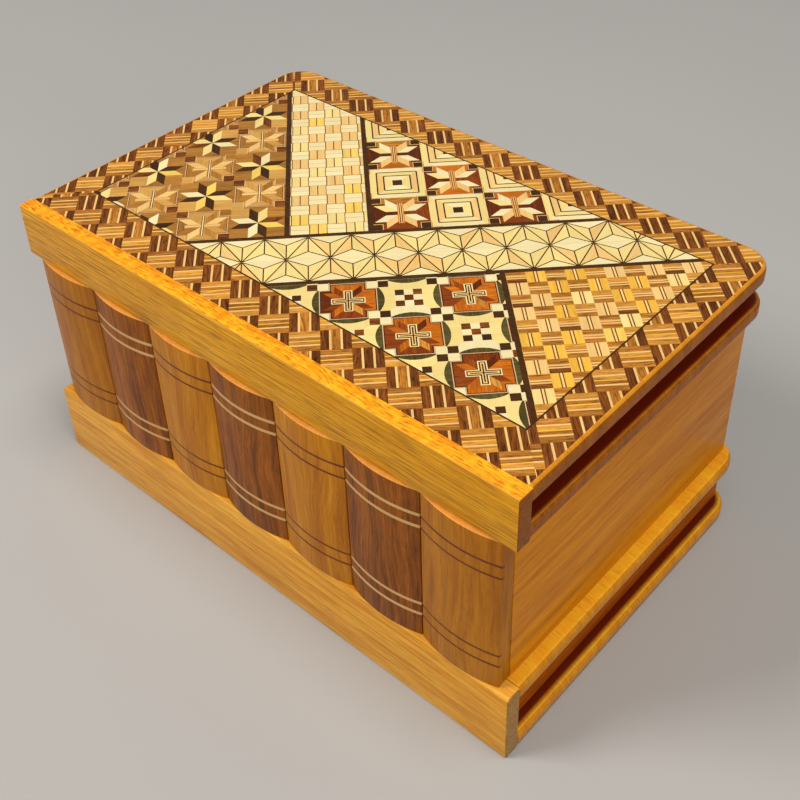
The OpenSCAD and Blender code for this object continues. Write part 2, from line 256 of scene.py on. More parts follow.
GROOVE_PAINTED_SHADE = rgb(128, 40, 8)
LOOKS = {
    # boards
    "gold_oak": look((250, 180, 34), (206, 132, 15), fibre=1.7, bands=0.4, flecks=0.6, scale=1.4, wave=0.6,
                     reach=3),
    "base_oak": look((248, 184, 67), (213, 134, 35), fibre=1.2, bands=1.1, flecks=0.35, scale=1.0, wave=1,
                     reach=2.5),
    "gold_oak_end": look((165, 90, 4), (129, 65, 2), fibre=1.2, flecks=0.4),
    "base_end": look((189, 143, 76), (148, 104, 46), fibre=1.2, flecks=0.4),
    "orange_cap": look((255, 186, 36), (244, 133, 8), fibre=1.2, bands=0.3, flecks=0.8, curl=0.7,
                       scale=1.8),
    "cover": look((255, 204, 45), (242, 143, 20), fibre=0.9, flecks=0.2, depth=0.2, scale=2.6,
                  stain=GROOVE_PAINTED_SHADE),
    "cover_end": look((239, 161, 35), (178, 107, 15), fibre=0.6, flecks=0.2, depth=0.2, scale=2),
    "lid_cover": look((233, 162, 43), (195, 113, 20), fibre=0.9, flecks=0.2, depth=0.2, scale=2.6,
                      stain=GROOVE_PAINTED_SHADE),
    "lid_cover_end": look((188, 107, 2), (115, 59, 1), fibre=0.7, flecks=0.25, depth=0.2, scale=2),
    "page": look((172, 61, 18), (104, 29, 8), fibre=0.8, flecks=0.3, gloss=0.6),
    "base_page": look((207, 105, 2), (131, 56, 1), fibre=0.8, flecks=0.3, gloss=0.6),
    "panel": look((216, 139, 15), (179, 100, 5), fibre=0.5, bands=1.1, flecks=0.2, wave=2),
    "book_light": look((188, 119, 12), (152, 85, 4), fibre=0.8, bands=1.0, flecks=0.2, tone=0.02),
    "book_fair": look((208, 136, 13), (169, 97, 4), fibre=0.8, bands=1.0, flecks=0.2, tone=0.02),
    "book_walnut": look((171, 95, 14), (102, 50, 4), fibre=0.9, bands=1.0, flecks=0.4, tone=0.08),
    "cap_edge": look((236, 176, 66), (214, 146, 40), fibre=0.6, flecks=0.1),
    "book_top": look((238, 168, 76), (210, 130, 44), fibre=0.6, flecks=0.1, tone=0.05),
    # inlay and marquetry
    "book_line": look((222, 180, 118), (198, 150, 86), fibre=0.6, flecks=0.1, tone=0.06),
    "umber": look((190, 132, 58), (140, 90, 32), fibre=0.9, bands=0.6, flecks=0.3, tone=0.14),
    "straw": look((216, 166, 88), (186, 132, 58), fibre=0.9, bands=0.5, flecks=0.2, tone=0.1),
    "maroon": look((128, 62, 22), (88, 38, 12), bands=0.3),
    "cream": look((239, 226, 178), (228, 206, 145), fibre=0.8, bands=0.4, flecks=0.08, tone=0.05),
    "pale": look((239, 218, 145), (230, 198, 116), fibre=0.8, bands=0.4, flecks=0.08, tone=0.06),
    "peach": look((237, 202, 133), (224, 174, 96), fibre=0.8, bands=0.4, flecks=0.1, tone=0.07),
    "lemon": look((243, 212, 112), (230, 186, 74), fibre=0.8, bands=0.4, flecks=0.1, tone=0.06),
    "yellow": look((241, 193, 81), (226, 162, 46), fibre=1.0, bands=0.4, flecks=0.2, tone=0.1),
    "honey": look((226, 162, 69), (181, 112, 33), fibre=1.4, flecks=0.6, tone=0.14),
    "chestnut": look((206, 135, 52), (142, 83, 21), fibre=1.5, flecks=0.8, tone=0.16),
    "walnut": look((144, 81, 27), (83, 40, 7), fibre=1.5, bands=0.8, flecks=0.8, tone=0.22),
    "orange": look((212, 118, 24), (172, 84, 12), fibre=1.2, bands=0.7, flecks=0.5, tone=0.14),
    "rust": look((155, 76, 19), (113, 44, 5), fibre=1.2, bands=0.7, flecks=0.5, tone=0.16),
    "rosewood": look((113, 50, 11), (76, 27, 4), fibre=0.9, bands=0.7, flecks=0.4, tone=0.16),
    "ebony": look((82, 50, 19), (50, 27, 7), fibre=0.9, flecks=0.3, tone=0.14),
    "smoke": look((101, 90, 44), (56, 48, 17), fibre=1.0, bands=0.6, flecks=0.5, tone=0.2),
    "blush": look((230, 189, 145), (210, 160, 112), fibre=0.6, flecks=0.1, tone=0.06),
    "line": look((70, 38, 14), (46, 22, 6), fibre=0.6, flecks=0.2, tone=0.08),
    # CAD nodes
    "inner_x": look((232, 200, 150), (206, 168, 116), axis="X", fibre=0.8, flecks=0.2, gloss=0.5),
    "tongue_y": look((240, 214, 168), (214, 178, 124), axis="Y", fibre=0.8, flecks=0.2, gloss=0.45),
}
LOOKS["panel_x"] = {**LOOKS["panel"], "axis": "X"}
for node in ("marquetry_bars", "marquetry_outline"):
    LOOKS[node] = look((84, 52, 20), (52, 28, 8), axis="X", fibre=0.9, flecks=0.3)
WOODS = {name: wood(name, **details) for name, details in LOOKS.items()}
BRASS = brass("satin_brass")


# ---------- meshes ----------

def span(node):
    """Lowest and highest corner of a CAD node, in millimetres."""
    low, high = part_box(node)
    return low / MM, high / MM


def grain_offset():
    """A place in the log for one piece."""
    sideways = [chance.uniform(0, LOG_SIZE) for _ in range(2)]
    return Vector((*sideways, TONE_STEP * (chance.randrange(1, TONES) + 0.5)))


def set_grain(bm, along):
    """Writes the grain attribute of a solid board, whose grain runs along the axis `along`, 0 to 2."""
    layer = bm.loops.layers.float_vector.new("grain")
    offset = grain_offset()
    for face in bm.faces:
        for loop in face.loops:
            co = loop.vert.co / MM
            depth = co[(along + 2) % 3] * DEPTH_SHARE
            loop[layer] = Vector((co[along], co[(along + 1) % 3], depth)) + offset


def smooth(bm, angle=35):
    """Smooth faces, with edges sharper than `angle` kept sharp."""
    bm.normal_update()
    for face in bm.faces:
        face.smooth = True
    for edge in bm.edges:
        edge.smooth = len(edge.link_faces) == 2 and edge.calc_face_angle() < math.radians(angle)


def place(name, bm, woods, body, slot, stands_for):
    """Turns a bmesh into a piece that rides on a body in place of CAD nodes."""
    mesh = bpy.data.meshes.new(name)
    bm.to_mesh(mesh)
    bm.free()
    for key in woods:
        mesh.materials.append(WOODS[key])
    piece = bpy.data.objects.new(name, mesh)
    bpy.context.scene.collection.objects.link(piece)
    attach(piece, body)
    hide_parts(*stands_for)
    return piece


def stack(rings):
    """A closed solid through rings of points, all anticlockwise from above and going up."""
    bm = bmesh.new()
    loops = [[bm.verts.new(Vector(point) * MM) for point in ring] for ring in rings]
    for low, high in zip(loops, loops[1:]):
        for i, start in enumerate(low):
            j = (i + 1) % len(low)
            bm.faces.new((start, low[j], high[j], high[i]))
    bm.faces.new(list(reversed(loops[0])))
    bm.faces.new(loops[-1])
    return bm


def roundover(bottom, top, low_radius, high_radius, drop=None, steps=6):
    """(inset, height) pairs up the edge of a board with rounded arrises; `drop` is the height of the upper one,
    if it isn't the same as its inset."""
    drop = high_radius if drop is None else drop
    turns = [math.pi / 2 * i / steps for i in range(steps + 1)]
    lower = [(low_radius * (1 - math.sin(t)), bottom + low_radius * (1 - math.cos(t))) for t in turns]
    upper = [(high_radius * (1 - math.cos(t)), top - drop * (1 - math.sin(t))) for t in turns]
    return lower + upper


def block(node, body, slot, along, radius, woods, second=None):
    """A square-cut board in place of a CAD node of the same size, its arrises rounded. The grain runs along one
    axis, and a second wood goes on the faces across that axis, or across the axis `second`."""
    low, high = span(node)
    bm = bmesh.new()
    bmesh.ops.create_cube(bm, size=1)
    for vert in bm.verts:
        vert.co = Vector([(low[i] if vert.co[i] < 0 else high[i]) * MM for i in range(3)])
    bmesh.ops.bevel(bm, geom=list(bm.edges), offset=radius * MM, segments=3, profile=0.5, affect="EDGES")
    bm.normal_update()
    for face in bm.faces:
        face.material_index = len(woods) > 1 and abs(face.normal[along if second is None else second]) > 0.7
    set_grain(bm, along)
    smooth(bm, 20)
    return place(f"{node}_wood", bm, woods, body, slot, [node])


# ---------- covers ----------

COVER_RADIUS = 9
EDGE_RADIUS = 1.5
SHEET_ROUND = 1.7
# Painted shade on the groove floors of the lower covers, which the cover above shades: where it starts and
# where it is full, in from the edge, for the base and for the lid. Its inner ring begins this far back from the
# front.
BASE_PAINTED_SHADE, LID_PAINTED_SHADE = (0.9, 2.3), (0.3, 1.45)
PAINTED_SHADE_FRONT = 1
SHEET_EDGE = span("marquetry_border")[0].x - span("lid_cover_top")[0].x


def cover_ring(half_width, front, rear, inset, height, steps=14):
    """Outline of a cover board: square at the front, where the spine board is, round at the rear corners."""
    radius = COVER_RADIUS - inset
    x, y = half_width - COVER_RADIUS, rear - COVER_RADIUS
    ring = [(-half_width + inset, front, height), (half_width - inset, front, height)]
    for side, start in ((1, 0), (-1, 90)):
        for i in range(steps + 1):
            t = math.radians(start + 90 * i / steps)
            ring.append((side * x + radius * math.cos(t), y + radius * math.sin(t), height))
    return ring


def cover(node, body, woods, low_radius=EDGE_RADIUS, top_radius=EDGE_RADIUS, drop=None, recess=None,
          stained=None, steep=0.5, cut=False):
    """A cover board with rounded edges. woods are for the faces and for the end grain.

    drop: the height of the upper rounding, if it isn't the same as its radius
    recess: the level of the floor under the marquetry
    stained: how far in from the edge the painted shade on top starts, and how far in it is full. It stands for
    the shade under the cover above
    steep: the slope from which a face is end grain
    cut: whether the CAD node's notches are cut into it"""
    low, high = span(node)
    profile = roundover(low.z, high.z, low_radius, top_radius, drop)
    if recess is not None:
        profile.append((top_radius, recess))
    rings = [cover_ring(high.x, low.y, high.y, inset, z) for inset, z in profile]
    if stained:
        rings.append(cover_ring(high.x, low.y + PAINTED_SHADE_FRONT, high.y, stained[1], high.z))
    bm = stack(rings)
    if cut:
        bm = keep_inside(bm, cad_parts[node])
    bm.normal_update()
    # Painted shade: a share that rises from the edge inwards on the groove floor, where the cover above shades
    # it.
    if stained:
        layer = bm.verts.layers.float.new("stain")
        for vert in bm.verts:
            co = vert.co / MM
            past = Vector((abs(co.x) - high.x + COVER_RADIUS, co.y - high.y + COVER_RADIUS))
            inset = COVER_RADIUS - Vector((max(past.x, 0), max(past.y, 0))).length
            share = (inset - stained[0]) / (stained[1] - stained[0])
            vert[layer] = min(max(share, 0), 1) if co.z > (low.z + high.z) / 2 else 0
    for face in bm.faces:
        face.material_index = 1 if abs(face.normal.x) > steep else 0
    set_grain(bm, 0)
    smooth(bm)
    return place(f"{node}_wood", bm, woods, body, "cover_wood", [node])


def keep_inside(bm, node):
    """The part of a solid that lies inside a CAD node, so that the node's notches are cut into it."""
    pair = []
    for key in ("solid", "tool"):
        mesh = bpy.data.meshes.new(key)
        if key == "solid":
            bm.to_mesh(mesh)
        else:
            tool = bmesh.new()
            tool.from_mesh(node.data)
            bmesh.ops.remove_doubles(tool, verts=tool.verts, dist=TINY * MM)
            tool.to_mesh(mesh)
            tool.free()
        pair.append(bpy.data.objects.new(key, mesh))
        bpy.context.scene.collection.objects.link(pair[-1])
    solid, tool = pair
    cutter = solid.modifiers.new("cut", "BOOLEAN")
    cutter.operation, cutter.solver, cutter.object = "INTERSECT", "EXACT", tool
    result = bpy.data.meshes.new_from_object(solid.evaluated_get(bpy.context.evaluated_depsgraph_get()))
    bm.clear()
    bm.from_mesh(result)
    for obj in pair:
        bpy.data.objects.remove(obj)
    return bm


cover("base_cover_lower", "box", ["cover", "cover_end"], stained=BASE_PAINTED_SHADE)
cover("base_cover_upper", "box", ["cover", "cover_end"])
cover("lid_cover_lower", "lid", ["lid_cover", "lid_cover_end"], top_radius=1.0, stained=LID_PAINTED_SHADE, cut=True)
cover("lid_cover_top", "lid", ["lid_cover", "lid_cover_end"], low_radius=0.8, top_radius=SHEET_EDGE,
      drop=SHEET_ROUND, recess=span("marquetry_border")[0].z, steep=0.8)

for side in ("left", "right"):
    block(f"base_page_{side}", "box", "page_wood", 1, 0.1, ["base_page"])
    block(f"lid_page_{side}", "lid", "page_wood", 1, 0.1, ["page"])
    block(f"side_wall_{side}", "box", "panel_wood", 1, 0.15, ["panel"])
for side in ("back", "front"):
    block(f"base_page_{side}", "box", "page_wood", 0, 0.1, ["base_page"])
    block(f"lid_page_{side}", "lid", "page_wood", 0, 0.1, ["page"])
block("base_spine", "box", "spine_wood", 0, 0.7, ["base_oak", "base_end"])
block("lid_spine", "lid", "spine_wood", 0, 0.25, ["gold_oak", "gold_oak_end"])
block("lid_spine_cap", "lid", "cap_wood", 0, 0.12, ["orange_cap", "cap_edge"], second=1)


# ---------- standing books ----------

FAIR_BOOKS = (3, 5)
CROWN = 2.0
BOOK_EDGE = 0.3
LINE_FIRST, LINE_STEP = 8.2, 4.0
LINE_DEPTH = 0.8


def spine_points(half_width, crown_y, pitch, steps=28):
    """(point, outward normal, point on the groove's floor) along a rounded spine, from left to right."""
    radius = (pitch ** 2 / 4 + CROWN ** 2) / (2 * CROWN)
    centre_y = crown_y + radius
    corner_x = half_width - BOOK_EDGE
    turn = math.asin(corner_x / (radius - BOOK_EDGE))
    corner_y = centre_y - (radius - BOOK_EDGE) * math.cos(turn)
    points = []
    for side in (-1, 0, 1):
        count = steps if side == 0 else 5
        for i in range(count + 1):
            share = i / count
            if side == 0:
                t = turn * (2 * share - 1)
                normal = Vector((math.sin(t), -math.cos(t)))
                point = Vector((0, centre_y)) + radius * normal
                if i in (0, count):
                    continue
            else:
                edge = share if side < 0 else 1 - share
                t = math.pi / 2 + (turn - math.pi / 2) * edge
                normal = Vector((side * math.sin(t), -math.cos(t)))
                point = Vector((side * corner_x, corner_y)) + BOOK_EDGE * normal
            floor = centre_y - math.sqrt((radius - LINE_DEPTH) ** 2 - point.x ** 2)
            points.append((point, normal, Vector((point.x, floor))))
    return points


def book(k):
    """A standing book with its four inlaid lines let into grooves round the spine."""
    dark = k % 2 == 0
    low, high = span(f"book_{k}")
    centre = (low.x + high.x) / 2
    pitch = (span("side_wall_right")[1].x - span("side_wall_left")[0].x) / len(BOOKS)
    spine = spine_points((high.x - low.x) / 2, low.y, pitch)
    line_low, line_high = span(f"book_lines_{k}")
    thick = line_high.z - line_low.z - (high.z - low.z - 2 * LINE_FIRST)
    levels = [low.z + LINE_FIRST, low.z + LINE_FIRST + LINE_STEP,
              high.z - LINE_FIRST - LINE_STEP, high.z - LINE_FIRST]

    def ring(inset, height, groove=False):
        front = [floor if groove else point - normal * inset for point, normal, floor in spine]
        back = high.y - inset
        outline = [*front, Vector((high.x - centre - inset, back)), Vector((low.x - centre + inset, back))]
        return [(centre + point.x, point.y, height) for point in outline]

    profile = roundover(low.z, high.z, BOOK_EDGE * 0.8, BOOK_EDGE * 0.8)
    half = len(profile) // 2
    rings = [ring(inset, z) for inset, z in profile[:half]]
    for level in levels:
        for z, groove in ((-1, False), (-1, True), (1, True), (1, False)):
            rings.append(ring(0, level + z * thick / 2, groove))
    rings += [ring(inset, z) for inset, z in profile[half:]]
    bm = stack(rings)
    set_grain(bm, 2)
    smooth(bm, 30)
    for face in bm.faces:
        top = face.normal.z > 0.3 and face.calc_center_median().z > (high.z - 1) * MM
        face.material_index = 1 if top else 0
    face_wood = "book_walnut" if dark else "book_fair" if k in FAIR_BOOKS else "book_light"
    place(f"book_{k}_wood", bm, [face_wood, "book_top"], f"book_{k}",
          "walnut" if dark else "light_book_wood", [f"book_{k}"])

    bm = bmesh.new()
    for level in levels:
        columns = [[bm.verts.new(Vector((centre + point.x, point.y, level + z * thick / 2)) * MM)
                    for point, z in ((face, -1), (face, 1), (floor, 1), (floor, -1))]
                   for face, _, floor in spine]
        for near, far in zip(columns, columns[1:]):
            for i in range(4):
                bm.faces.new((near[i], far[i], far[(i + 1) % 4], near[(i + 1) % 4]))
        bm.faces.new(columns[0])
        bm.faces.new(list(reversed(columns[-1])))
    bmesh.ops.recalc_face_normals(bm, faces=bm.faces)
    set_grain(bm, 0)
    smooth(bm, 30)
    place(f"book_lines_{k}_wood", bm, ["book_line" if dark else "maroon"], f"book_{k}",
          "cream_inlay" if dark else "dark_inlay", [f"book_lines_{k}"])


for k in BOOKS:
    book(k)


# ---------- marquetry ----------
# A pattern is a list of tiles in the order they are painted: a later tile covers an earlier one. U runs to the
# right from the middle of the lid, and V backwards from the lid's front face. Pitches, radii and widths are in
# millimetres.

Tile = namedtuple("Tile", "outline wood angle")
LID_FRONT = span("lid_spine")[0].y
SHEET_TOP = span("marquetry_border")[1].z
SHEET_BACK = span("marquetry_border")[0].z


def window(node):
    """The outline of a convex veneer patch, anticlockwise, in U and V."""
    points = [Vector((v.co.x / MM, v.co.y / MM - LID_FRONT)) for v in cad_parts[node].data.vertices]
    return [points[i] for i in convex_hull_2d(points)]


def inside(spot, outline):
    """Whether a point lies inside an outline."""
    hit = False
    for a, b in zip(outline, outline[1:] + outline[:1]):
        if (a.y > spot.y) != (b.y > spot.y) and spot.x < (b.x - a.x) * (spot.y - a.y) / (b.y - a.y) + a.x:
            hit = not hit
    return hit


def squares(outline, size=6.0):
    """The squares of a coarse grid that an outline's bounding box touches."""
    (left, front), (right, rear) = map(min, zip(*outline)), map(max, zip(*outline))
    return [(i, j) for i in range(math.floor(left / size), math.floor(right / size) + 1)
            for j in range(math.floor(front / size), math.floor(rear / size) + 1)]


def inlay(bm, outline, patches):
    """Cuts painted tiles into faces that don't overlap, keeps those inside the outline, and gives each face the
    wood and the grain of the tile on top. patches are (region, tiles) pairs."""
    shapes = [outline] + [region for region, _ in patches]
    near = {}
    for home, (_, tiles) in enumerate(patches):
        for tile in tiles:
            shapes.append(tile.outline)
            entry = (tile, grain_offset())
            for square in squares(tile.outline):
                near.setdefault((home, square), []).insert(0, entry)
    points, edges = [], []
    for shape in shapes:
        first, count = len(points), len(shape)
        edges += [(first + i, first + (i + 1) % count) for i in range(count)]
        points += shape
    cut, _, cells, *_ = delaunay_2d_cdt(points, edges, [], 0, 1e-4, False)
    layer = bm.loops.layers.float_vector.new("grain")
    verts = [bm.verts.new(Vector((p.x, p.y + LID_FRONT, SHEET_TOP)) * MM) for p in cut]
    for cell in cells:
        spot = sum((cut[i] for i in cell), Vector((0, 0))) / 3
        home = next((k for k, (region, _) in enumerate(patches) if inside(spot, region)), None)
        if home is None or not inside(spot, outline):
            continue
        choices = near[home, squares([spot])[0]]
        tile, offset = next((choice for choice in choices if inside(spot, choice[0].outline)), choices[-1])
        face = bm.faces.new([verts[i] for i in cell])
        face.material_index = tile.wood
        turn = math.radians(tile.angle)
        for loop, i in zip(face.loops, cell):
            u, v = cut[i]
            along = u * math.cos(turn) + v * math.sin(turn)
            across = v * math.cos(turn) - u * math.sin(turn)
            loop[layer] = Vector((along, across, 0)) + offset
    bmesh.ops.delete(bm, geom=[v for v in bm.verts if not v.link_faces], context="VERTS")


def veneer(name, outline, patches, nodes, slot):
    """One piece of marquetry, with a skirt and a back under its tiles."""
    woods = sorted({tile.wood for _, tiles in patches for tile in tiles})
    bm = bmesh.new()
    inlay(bm, outline, [(region, [tile._replace(wood=woods.index(tile.wood)) for tile in tiles])
                        for region, tiles in patches])
    rim = bmesh.ops.extrude_edge_only(bm, edges=[e for e in bm.edges if e.is_boundary])["geom"]
    for item in rim:
        if isinstance(item, bmesh.types.BMVert):
            item.co.z = SHEET_BACK * MM
    bmesh.ops.triangle_fill(bm, use_beauty=True, edges=[e for e in bm.edges if e.is_boundary])
    bmesh.ops.recalc_face_normals(bm, faces=bm.faces)
    place(name, bm, woods, "lid", slot, nodes)


def point(angle, radius):
    """The end of an arm from the origin."""
    return Vector((math.cos(math.radians(angle)), math.sin(math.radians(angle)))) * radius


def diamond(centre, radius):
    """A square that stands on its corner."""
    return [centre + point(90 * i, radius) for i in range(4)]


def bar(start, end, width):
    """A straight strip between two points."""
    side = (end - start).orthogonal().normalized() * width / 2
    return [start - side, end - side, end + side, start + side]


def pick(woods):
    """One of several woods named in a string, such as "walnut walnut ebony"."""
    return chance.choice(woods.split())


def lattice(area, origin, pitch):
    """The points of a square lattice that lie in an area's bounding box or up to a pitch outside it."""
    spans = []
    for axis in (0, 1):
        steps = [(p[axis] - origin[axis]) / pitch for p in area]
        spans.append(range(math.floor(min(steps) - 1), math.ceil(max(steps) + 1) + 1))
    for i in spans[0]:
        for j in spans[1]:
            yield origin + Vector((i, j)) * pitch


def plied(centre, side, angle, plies):
    """A square of strips side by side. plies are (share of the width, woods) pairs."""
    along, across = point(angle, side / 2), point(angle + 90, side)
    edge = -0.5
    total = sum(share for share, _ in plies)
    for share, woods in plies:
        start, edge = edge, edge + share / total
        low, high = centre + across * start, centre + across * edge
        yield Tile([low - along, low + along, high + along, high - along], pick(woods), angle)


def weave(area, origin, pitch, rising, *falling):
    """Slanted basket weave: squares of strips that rise to the right, and squares that fall between them, which
    may be of several kinds."""
    tiles = []
    for centre in lattice(area, Vector(origin), pitch):
        tiles += plied(centre, pitch / ROOT2, 45, rising)
        kind = chance.choice(falling) if len(falling) > 1 else falling[0]
        tiles += plied(centre + Vector((pitch, pitch)) / 2, pitch / ROOT2, -45, kind)
    return tiles


def petals(centre, start, width, length, woods):
    """Eight petals in four pairs, one pair along each axis; woods has one name for each petal."""
    tiles = []
    for k in range(4):
        ahead, aside = point(90 * k, 1), point(90 * k + 90, 1)
        for n, side in enumerate((-1, 1)):
            root = centre + ahead * start
            lean = (ahead + aside * side) * width
            outline = [root, root + lean, root + lean + ahead * length, root + ahead * length]
            tiles.append(Tile(outline, pick(woods[2 * k + n]), 90 * k + 45 * side))
    return tiles


def quarters(centre, radius, woods):
    """A diamond in four triangles, from the upper right one anticlockwise."""
    return [Tile([centre, centre + point(90 * k, radius), centre + point(90 * k + 90, radius)], pick(woods[k]),
                 -45 if k % 2 == 0 else 45) for k in range(4)]


def cross(centre, length, width, name):
    """A diagonal cross of two bars."""
    return [Tile(bar(centre - point(a, length), centre + point(a, length), width), name, a) for a in (-45, 45)]


FIELD = window("marquetry_outline")
SHEET = window("marquetry_border")
STRIP_REACH = 30


def border():
    """Basket weave round the picture in four mitred strips, each with its own start and pitch. The strips reach
    past the edge of the sheet."""
    dark = [(3.1, "walnut"), (0.8, "peach"), (3.2, "walnut walnut chestnut"), (0.8, "peach"), (3.1, "walnut")]
    fair = [(2.6, "chestnut honey"), (0.7, "peach"), (1.6, "chestnut honey"), (0.5, "yellow"),
            (1.6, "chestnut honey"), (0.7, "peach"), (2.6, "honey chestnut")]
    low = Vector((min(p.x for p in FIELD), min(p.y for p in FIELD)))
    high = Vector((max(p.x for p in FIELD), max(p.y for p in FIELD)))
    corners = [low, Vector((high.x, low.y)), high, Vector((low.x, high.y))]
    starts = [((-25.75, 8.55), 10.9), ((83.25, 99.4), 11.05), ((-4.0, 100.6), 11.05), ((-83.25, 98.5), 11.2)]
    strips = []
    for k, (origin, pitch) in enumerate(starts):
        a, b = corners[k], corners[(k + 1) % 4]
        run = (b - a).normalized() * STRIP_REACH
        away = Vector((run.y, -run.x))
        region = [a, a + away - run, b + away + run, b]
        strips.append((region, weave(region, origin, pitch, fair, dark)))
    return strips


def stars(area):
    """Pinwheel stars of eight petals, light and dark in turn, and compass flowers between them."""
    pitch = 21.8
    size = pitch / 6
    ground = [Vector((-120, -40)), Vector((120, -40)), Vector((120, 140)), Vector((-120, 140))]
    tiles = [Tile(ground, "umber", 45)]
    origin = Vector((-29.5, 37.4))
    steps = [Vector((round(point(45 * k, 1.2).x), round(point(45 * k, 1.2).y))) * size for k in range(8)]
    for centre in lattice(area, origin + Vector((pitch, pitch)) / 2, pitch):
        tiles.append(Tile(diamond(centre, 10.0), "blush", 45))
        tiles.append(Tile(diamond(centre, 9.7), "line", 45))
        tiles += quarters(centre, 9.45, ["umber", "straw", "umber", "straw"])
        tiles += cross(centre, 5.0, 1.7, "straw") + cross(centre, 5.0, 0.8, "peach")
        tiles.append(Tile(bar(centre + point(135, 5), centre + point(-45, 5), 0.8), "walnut", -45))
        tiles.append(Tile(bar(centre + point(135, 5), centre + point(-45, 5), 0.3), "cream", -45))
        tiles += petals(centre, 1.0, 2.3, 4.4,
                        ["umber", "straw", "peach", "umber", "straw", "peach", "umber", "peach"])
        for k, name in enumerate(["walnut", "umber", "walnut", "straw"]):
            tip = centre + point(90 * k, pitch / 2 - 2.2)
            tiles += [Tile(diamond(tip, 2.6), "blush", 45), Tile(diamond(tip, 2.25), name, 45)]
    for centre in lattice(area, origin, pitch):
        for k in range(8):
            a, b = steps[k], steps[(k + 1) % 8]
            woods = "cream cream pale pale lemon" if k % 2 == 0 else "ebony ebony walnut"
            tiles.append(Tile([centre, centre + a, centre + a + b, centre + b], pick(woods), 45 * k + 22))
        for k in range(4):
            tiles.append(Tile(diamond(centre + point(90 * k, 2 * size), size), pick("umber umber straw"), 45))
    return tiles


def cream_weave(area):
    """Pale basket weave with thin dark lines."""
    rising = [(0.2, "honey"), (3, "cream"), (0.2, "honey"), (3, "cream"), (0.3, "chestnut")]
    falling = [[(0.4, "walnut"), (3, name), (0.4, "walnut"), (3, name), (0.3, "walnut")]
               for name in "peach peach peach pale pale pale peach lemon".split()]
    return weave(area, (-32.0, 56.6), 7.2, rising, *falling)


def gold_weave(area):
    """Golden basket weave with brown squares."""
    rising = [(1.7, "chestnut chestnut walnut"), (0.5, "peach"), (0.4, "chestnut"), (0.5, "peach"),
              (0.4, "honey"), (1.7, "chestnut honey")]
    falling = [[(2.1, name), (0.35, "rust"), (0.5, "pale"), (0.35, "rust"), (2.1, name)]
               for name in "yellow yellow yellow peach peach peach pale lemon".split()]
    return weave(area, (71.06, 84.66), 7.33, rising, *falling)


def checks(area):
    """Concentric squares on their corners, with a flower between each four."""
    pitch = 22.97
    origin = Vector((9.72, 78.0))
    outer, inner = 8.4, 5.5
    tiles = []
    for centre in lattice(area, origin, pitch):
        for radius, sides in ((pitch / 2, ["pale", "cream"]), (outer, ["peach", "pale"]),
                              (inner, ["pale", "cream"])):
            tiles += quarters(centre, radius, sides * 2)
        for radius in (outer, inner):
            for k in range(4):
                a, b = centre + point(90 * k, radius), centre + point(90 * k + 90, radius)
                tiles.append(Tile(bar(a, b, 0.42), "ebony", 45))
        tiles.append(Tile(diamond(centre, 2.0), "ebony", 45))
    for centre in lattice(area, origin + Vector((pitch, pitch)) / 2, pitch):
        tiles += quarters(centre, pitch / 2, ["rust rosewood", "chestnut orange", "rosewood", "orange rust"])
        for width, name in ((1.9, "orange"), (1.3, "peach"), (0.9, "rust"), (0.3, "peach")):
            tiles.append(Tile(bar(centre + point(135, 5.2), centre + point(-45, 5.2), width), name, -45))
        tiles += petals(centre, 1.25, 2.35, 4.7,
                        ["peach", "cream", "cream", "peach", "cream", "pale", "cream", "peach"])
        for k in range(4):
            tip = centre + point(90 * k, pitch / 2 - 1.95)
            tiles += [Tile(diamond(tip, radius), name, 45) for radius, name in
                      ((2.4, "rust"), (2.2, "peach"), (1.9, "ebony"))]
    return tiles


def hemp_leaf(area):
    """Hemp-leaf band: a lattice of equal triangles, each split in three from its middle."""
    side = 11.87
    origin = Vector((-2.0, 38.2))
    run, climb = point(45, side), point(105, side)
    tiles, lines = [], []
    left, right = -70, 100
    for i in range(-9, 10):
        for j in range(-2, 3):
            corner = origin + run * i + climb * j
            if not left < corner.x < right:
                continue
            far = corner + run + climb
            for triangle in ((corner, corner + run, corner + climb), (corner + run, far, corner + climb)):
                middle = sum(triangle, Vector((0, 0))) / 3
                for n in range(3):
                    a, b = triangle[n], triangle[(n + 1) % 3]
                    level = abs((b - a).angle_signed(run)) < 0.1 or abs((a - b).angle_signed(run)) < 0.1
                    tiles.append(Tile([a, b, middle], pick("cream" if level else "pale pale pale peach"),
                                      math.degrees(math.atan2(b.y - a.y, b.x - a.x))))
                    lines.append(Tile(bar(a, middle, 0.34), "line", 45))
                    lines.append(Tile(bar(a, b, 0.2 if level else 0.36), "pale" if level else "line", 45))
    return tiles + lines


def notched(centre, radius, notch):
    """A diamond with a square notch cut into each corner."""
    cut = (radius - notch) / 2
    outline = []
    for k in range(4):
        ahead, aside = point(90 * k, 1), point(90 * k + 90, 1)
        outline += [centre + ahead * (notch + cut) - aside * cut, centre + ahead * notch,
                    centre + ahead * (notch + cut) + aside * cut]
    return outline


